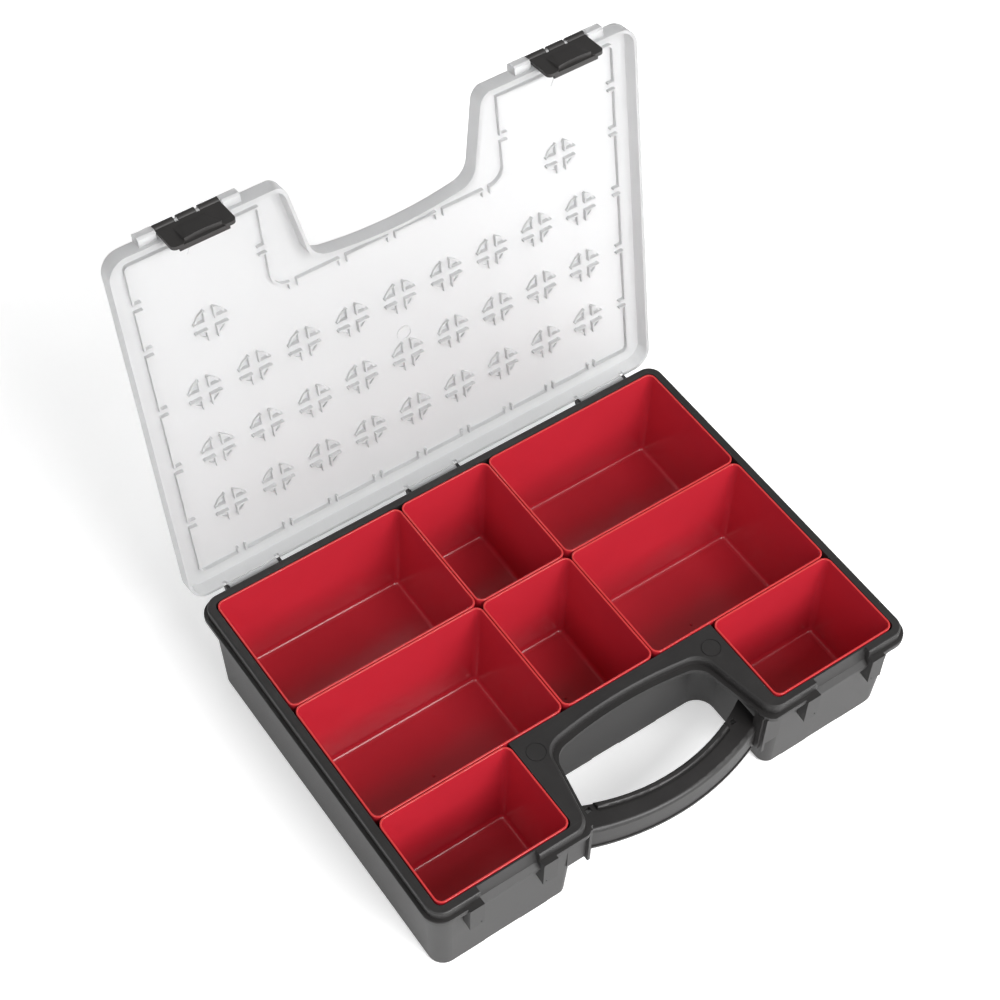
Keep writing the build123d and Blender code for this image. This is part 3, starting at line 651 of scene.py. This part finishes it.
def model_latch(node, shape):
    """A latch modelled hanging straight down from its rod, then swung to its place on the open lid."""
    thickness = shape.outer + shape.inner
    start_fresh()
    bpy.ops.mesh.primitive_plane_add(
        size=1.0, rotation=(math.pi / 2, 0.0, 0.0), location=(0.0, 0.0, -0.5)
    )
    latch = bpy.context.object
    latch.name = node + "_shell"
    bpy.ops.object.transform_apply(location=True, rotation=True)
    edit(latch)
    bpy.ops.mesh.select_all(action="SELECT")
    scale_about((0.0, 0.0, 0.0), shape.width, 1.0, shape.length)
    pick("VERT", lambda v: v.co.z < -shape.length / 2)
    bpy.ops.mesh.bevel(offset=shape.corner, segments=6, affect="VERTICES")
    ramp_top = -shape.ramp_top
    arch_columns = [k * shape.foot_inner / 5 for k in range(5)]
    half_columns = (*arch_columns, shape.foot_inner, shape.foot_outer)
    columns = sorted({side * x for side in (-1, 1) for x in half_columns})
    for x in columns:
        bpy.ops.mesh.select_all(action="SELECT")
        bpy.ops.mesh.bisect(plane_co=(x, 0.0, 0.0), plane_no=(1.0, 0.0, 0.0))
    bpy.ops.mesh.select_all(action="SELECT")
    bpy.ops.mesh.bisect(plane_co=(0.0, 0.0, ramp_top), plane_no=(0.0, 0.0, 1.0))

    # The free edge between the feet curves up towards its middle.
    for x in columns:
        if abs(x) > shape.foot_inner + NEAR:
            continue
        rise = shape.arch + shape.crown * math.cos(x / shape.foot_inner * math.pi / 2)
        pick("VERT", lambda v, x=x: abs(v.co.x - x) < NEAR and v.co.z < -shape.length + NEAR)
        bpy.ops.transform.translate(value=(0.0, 0.0, rise))
    bpy.ops.mesh.select_mode(type="FACE")
    bpy.ops.mesh.select_all(action="SELECT")
    bpy.ops.transform.translate(value=(0.0, -shape.outer, 0.0))
    push(y=thickness)
    bpy.ops.mesh.select_all(action="SELECT")
    bpy.ops.mesh.normals_make_consistent(inside=False)

    # The finger ramp: the middle stands out at the free edge, and slopes back to the plate at its top.
    def on_ramp(face):
        place = middle_of(face)
        return face.normal.y < -0.9 and abs(place.x) < shape.foot_inner and place.z < ramp_top

    pick("FACE", on_ramp)
    push(y=-shape.ramp)
    pick("VERT", lambda v: v.co.y < -shape.outer - shape.ramp / 2 and v.co.z > ramp_top - NEAR)
    bpy.ops.transform.translate(value=(0.0, shape.ramp - shape.ramp_step, 0.0))
    scale_about((0.0, -shape.outer, ramp_top), x=shape.ramp_taper)

    # The hook along the inside of the free edge.
    start_fresh()
    bpy.ops.mesh.primitive_cube_add(size=1.0, location=(0.0, 0.0, 0.0))
    hook = bpy.context.object
    edit(hook)
    bpy.ops.mesh.select_all(action="SELECT")
    hook_top, hook_low = -shape.hook_top, -shape.hook_low
    reach = shape.hook + shape.inner
    scale_about((0.0, 0.0, 0.0), 2 * (shape.foot_inner + shape.hook_side), reach, hook_top - hook_low)
    bpy.ops.transform.translate(value=(0.0, shape.hook - reach / 2, (hook_top + hook_low) / 2))

    def leads(edge):
        return all(v.co.y > shape.hook - NEAR and v.co.z < hook_low + NEAR for v in edge.verts)

    pick("EDGE", leads)
    bpy.ops.mesh.bevel(offset=shape.hook_round, segments=3, affect="EDGES")
    start_fresh()
    combine(latch, hook, "UNION")

    # The clip barrel, its bore, the mouth that snaps over the rod, and the slots for the rod's webs.
    start_fresh()
    overlong = shape.width * CUTTER_REACH
    rounds = ((shape.barrel, shape.width, "UNION"), (shape.bore, overlong, "DIFFERENCE"))
    for radius, length, operation in rounds:
        bpy.ops.mesh.primitive_cylinder_add(
            vertices=BARREL_SIDES, radius=radius, depth=length, rotation=(0.0, math.pi / 2, 0.0)
        )
        tool = bpy.context.object
        bpy.ops.object.transform_apply(rotation=True)
        combine(latch, tool, operation)
    cutters = [((0.0, MOUTH_DEPTH / 2, MOUTH_LIFT), (overlong, MOUTH_DEPTH, MOUTH_HEIGHT))]
    for side in (-1, 1):
        place = (side * shape.width / 6, 0.0, NOTCH_LIFT)
        cutters.append((place, (shape.notch, NOTCH_DEPTH, NOTCH_HEIGHT)))
    for place, size in cutters:
        start_fresh()
        bpy.ops.mesh.primitive_cube_add(size=1.0, location=place)
        cutter = bpy.context.object
        cutter.scale = size
        bpy.ops.object.transform_apply(scale=True)
        combine(latch, cutter, "DIFFERENCE")
    soften(latch, shape.edge_round)

    pivot = JOINTS[node + "_pivot"]["pos_m"]
    open_angle = math.radians(JOINTS["lid_hinge"]["range_deg"][0])
    take(latch)
    latch.matrix_world = Matrix.Translation(pivot) @ Matrix.Rotation(open_angle + shape.tilt, 4, "X")
    finish_mesh(latch)
    return latch


# ---------------------------------------------------------------- operators


class ORGANIZER_OT_trays(bpy.types.Operator):
    """Model the eight lift-out trays"""

    bl_idname = "organizer.trays"
    bl_label = "Model Trays"

    def execute(self, context):
        shape = context.scene.organizer_trays
        rim_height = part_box(TRAY_NAMES[0])[1].z
        material = tray_plastic(rim_height)
        for node in TRAY_NAMES:
            tray = model_tray(node, shape)
            give(tray, material)
            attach(tray, node)
            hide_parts(node)
        return {"FINISHED"}


class ORGANIZER_OT_latches(bpy.types.Operator):
    """Model the two swinging latches"""

    bl_idname = "organizer.latches"
    bl_label = "Model Latches"

    def execute(self, context):
        shape = context.scene.organizer_latches
        material = latch_plastic()
        for node in LATCH_NAMES:
            latch = model_latch(node, shape)
            give(latch, material)
            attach(latch, node)
            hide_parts(node)
        return {"FINISHED"}


class ORGANIZER_OT_case(bpy.types.Operator):
    """Finish the black case"""

    bl_idname = "organizer.case"
    bl_label = "Finish Case"

    def execute(self, context):
        give(frame["nodes"]["case_base"], case_plastic())
        return {"FINISHED"}


class ORGANIZER_OT_lid(bpy.types.Operator):
    """Finish the frosted lid"""

    bl_idname = "organizer.lid"
    bl_label = "Finish Lid"

    def execute(self, context):
        give(frame["nodes"]["lid"], lid_plastic())
        return {"FINISHED"}


class ORGANIZER_OT_studio(bpy.types.Operator):
    """Set the floor, the soft lights and the camera"""

    bl_idname = "organizer.studio"
    bl_label = "Set Studio"

    def execute(self, context):
        studio = context.scene.organizer_studio
        self.make_floor(studio)
        self.make_lights(context.scene, studio)
        self.make_camera(context.scene, studio)
        context.scene.view_settings.view_transform = "Standard"
        return {"FINISHED"}

    @staticmethod
    def make_floor(studio):
        start_fresh()
        bpy.ops.mesh.primitive_plane_add(size=FLOOR_SIDE, location=(0.0, 0.0, CAD_BOX[0].z - FLOOR_GAP))
        floor = bpy.context.object
        floor.name = "studio_floor"
        finish = Finish("studio_floor")
        cloud = finish.noise(3.0)
        shade = [channel * 0.985 for channel in studio.floor_colour]
        paint = finish.blend(cloud, studio.floor_colour, shade)
        give(floor, finish.surface(
            Base_Color=paint, Roughness=0.75, Emission_Color=WHITE, Emission_Strength=studio.floor_glow
        ))

    @staticmethod
    def make_lights(scene, studio):
        world = bpy.data.worlds.new("studio_world")
        world.use_nodes = True
        background = world.node_tree.nodes["Background"]
        background.inputs["Color"].default_value = WHITE
        background.inputs["Strength"].default_value = studio.room_light
        scene.world = world
        # Name, place, side, and share of the key's power.
        softboxes = (
            ("softbox_key", (0.3, -1.6, 1.45), 1.3, 1.0),
            ("softbox_left", (-1.6, -0.5, 1.5), 0.9, 0.2),
            ("softbox_right", (1.7, -0.6, 1.3), 1.1, 0.25),
        )
        for name, place, size, share in softboxes:
            light = bpy.data.lights.new(name, "AREA")
            light.shape = "SQUARE"
            light.size = size
            light.energy = studio.key_power * share
            lamp = bpy.data.objects.new(name, light)
            scene.collection.objects.link(lamp)
            lamp.location = place
            aim = LIGHT_AIM - lamp.location
            lamp.rotation_euler = aim.to_track_quat("-Z", "Y").to_euler()

    @staticmethod
    def make_camera(scene, studio):
        lens = bpy.data.cameras.new("studio_camera")
        lens.lens = studio.lens
        lens.sensor_width = SENSOR_WIDTH
        camera = bpy.data.objects.new("studio_camera", lens)
        scene.collection.objects.link(camera)
        turn, lift = studio.azimuth, studio.elevation
        flat = math.cos(lift)
        back = Vector((math.sin(turn) * flat, -math.cos(turn) * flat, math.sin(lift)))
        camera.location = Vector(studio.target) + back * studio.distance
        camera.rotation_mode = "QUATERNION"
        roll = Quaternion((0.0, 0.0, 1.0), studio.roll)
        camera.rotation_quaternion = (-back).to_track_quat("-Z", "Y") @ roll
        scene.camera = camera


STEPS = (ORGANIZER_OT_studio, ORGANIZER_OT_case, ORGANIZER_OT_lid, ORGANIZER_OT_trays, ORGANIZER_OT_latches)


class ORGANIZER_PT_panel(bpy.types.Panel):
    """Lists the steps that build the organizer"""

    bl_idname = "ORGANIZER_PT_panel"
    bl_label = "Organizer"
    bl_space_type = "VIEW_3D"
    bl_region_type = "UI"
    bl_category = "Organizer"

    def draw(self, context):
        for step in STEPS:
            self.layout.operator(step.bl_idname)


GROUPS = {
    "organizer_trays": TrayShape,
    "organizer_latches": LatchShape,
    "organizer_finishes": Finishes,
    "organizer_studio": Studio,
}


def register():
    for group in GROUPS.values():
        bpy.utils.register_class(group)
    for name, group in GROUPS.items():
        setattr(bpy.types.Scene, name, PointerProperty(type=group))
    for step in STEPS:
        bpy.utils.register_class(step)
    bpy.utils.register_class(ORGANIZER_PT_panel)


def unregister():
    bpy.utils.unregister_class(ORGANIZER_PT_panel)
    for step in reversed(STEPS):
        bpy.utils.unregister_class(step)
    for name in GROUPS:
        delattr(bpy.types.Scene, name)
    for group in reversed(GROUPS.values()):
        bpy.utils.unregister_class(group)


def main():
    """Build everything."""
    register()
    bpy.ops.organizer.studio()
    bpy.ops.organizer.case()
    bpy.ops.organizer.lid()
    bpy.ops.organizer.trays()
    bpy.ops.organizer.latches()


if __name__ == "__main__":
    main()
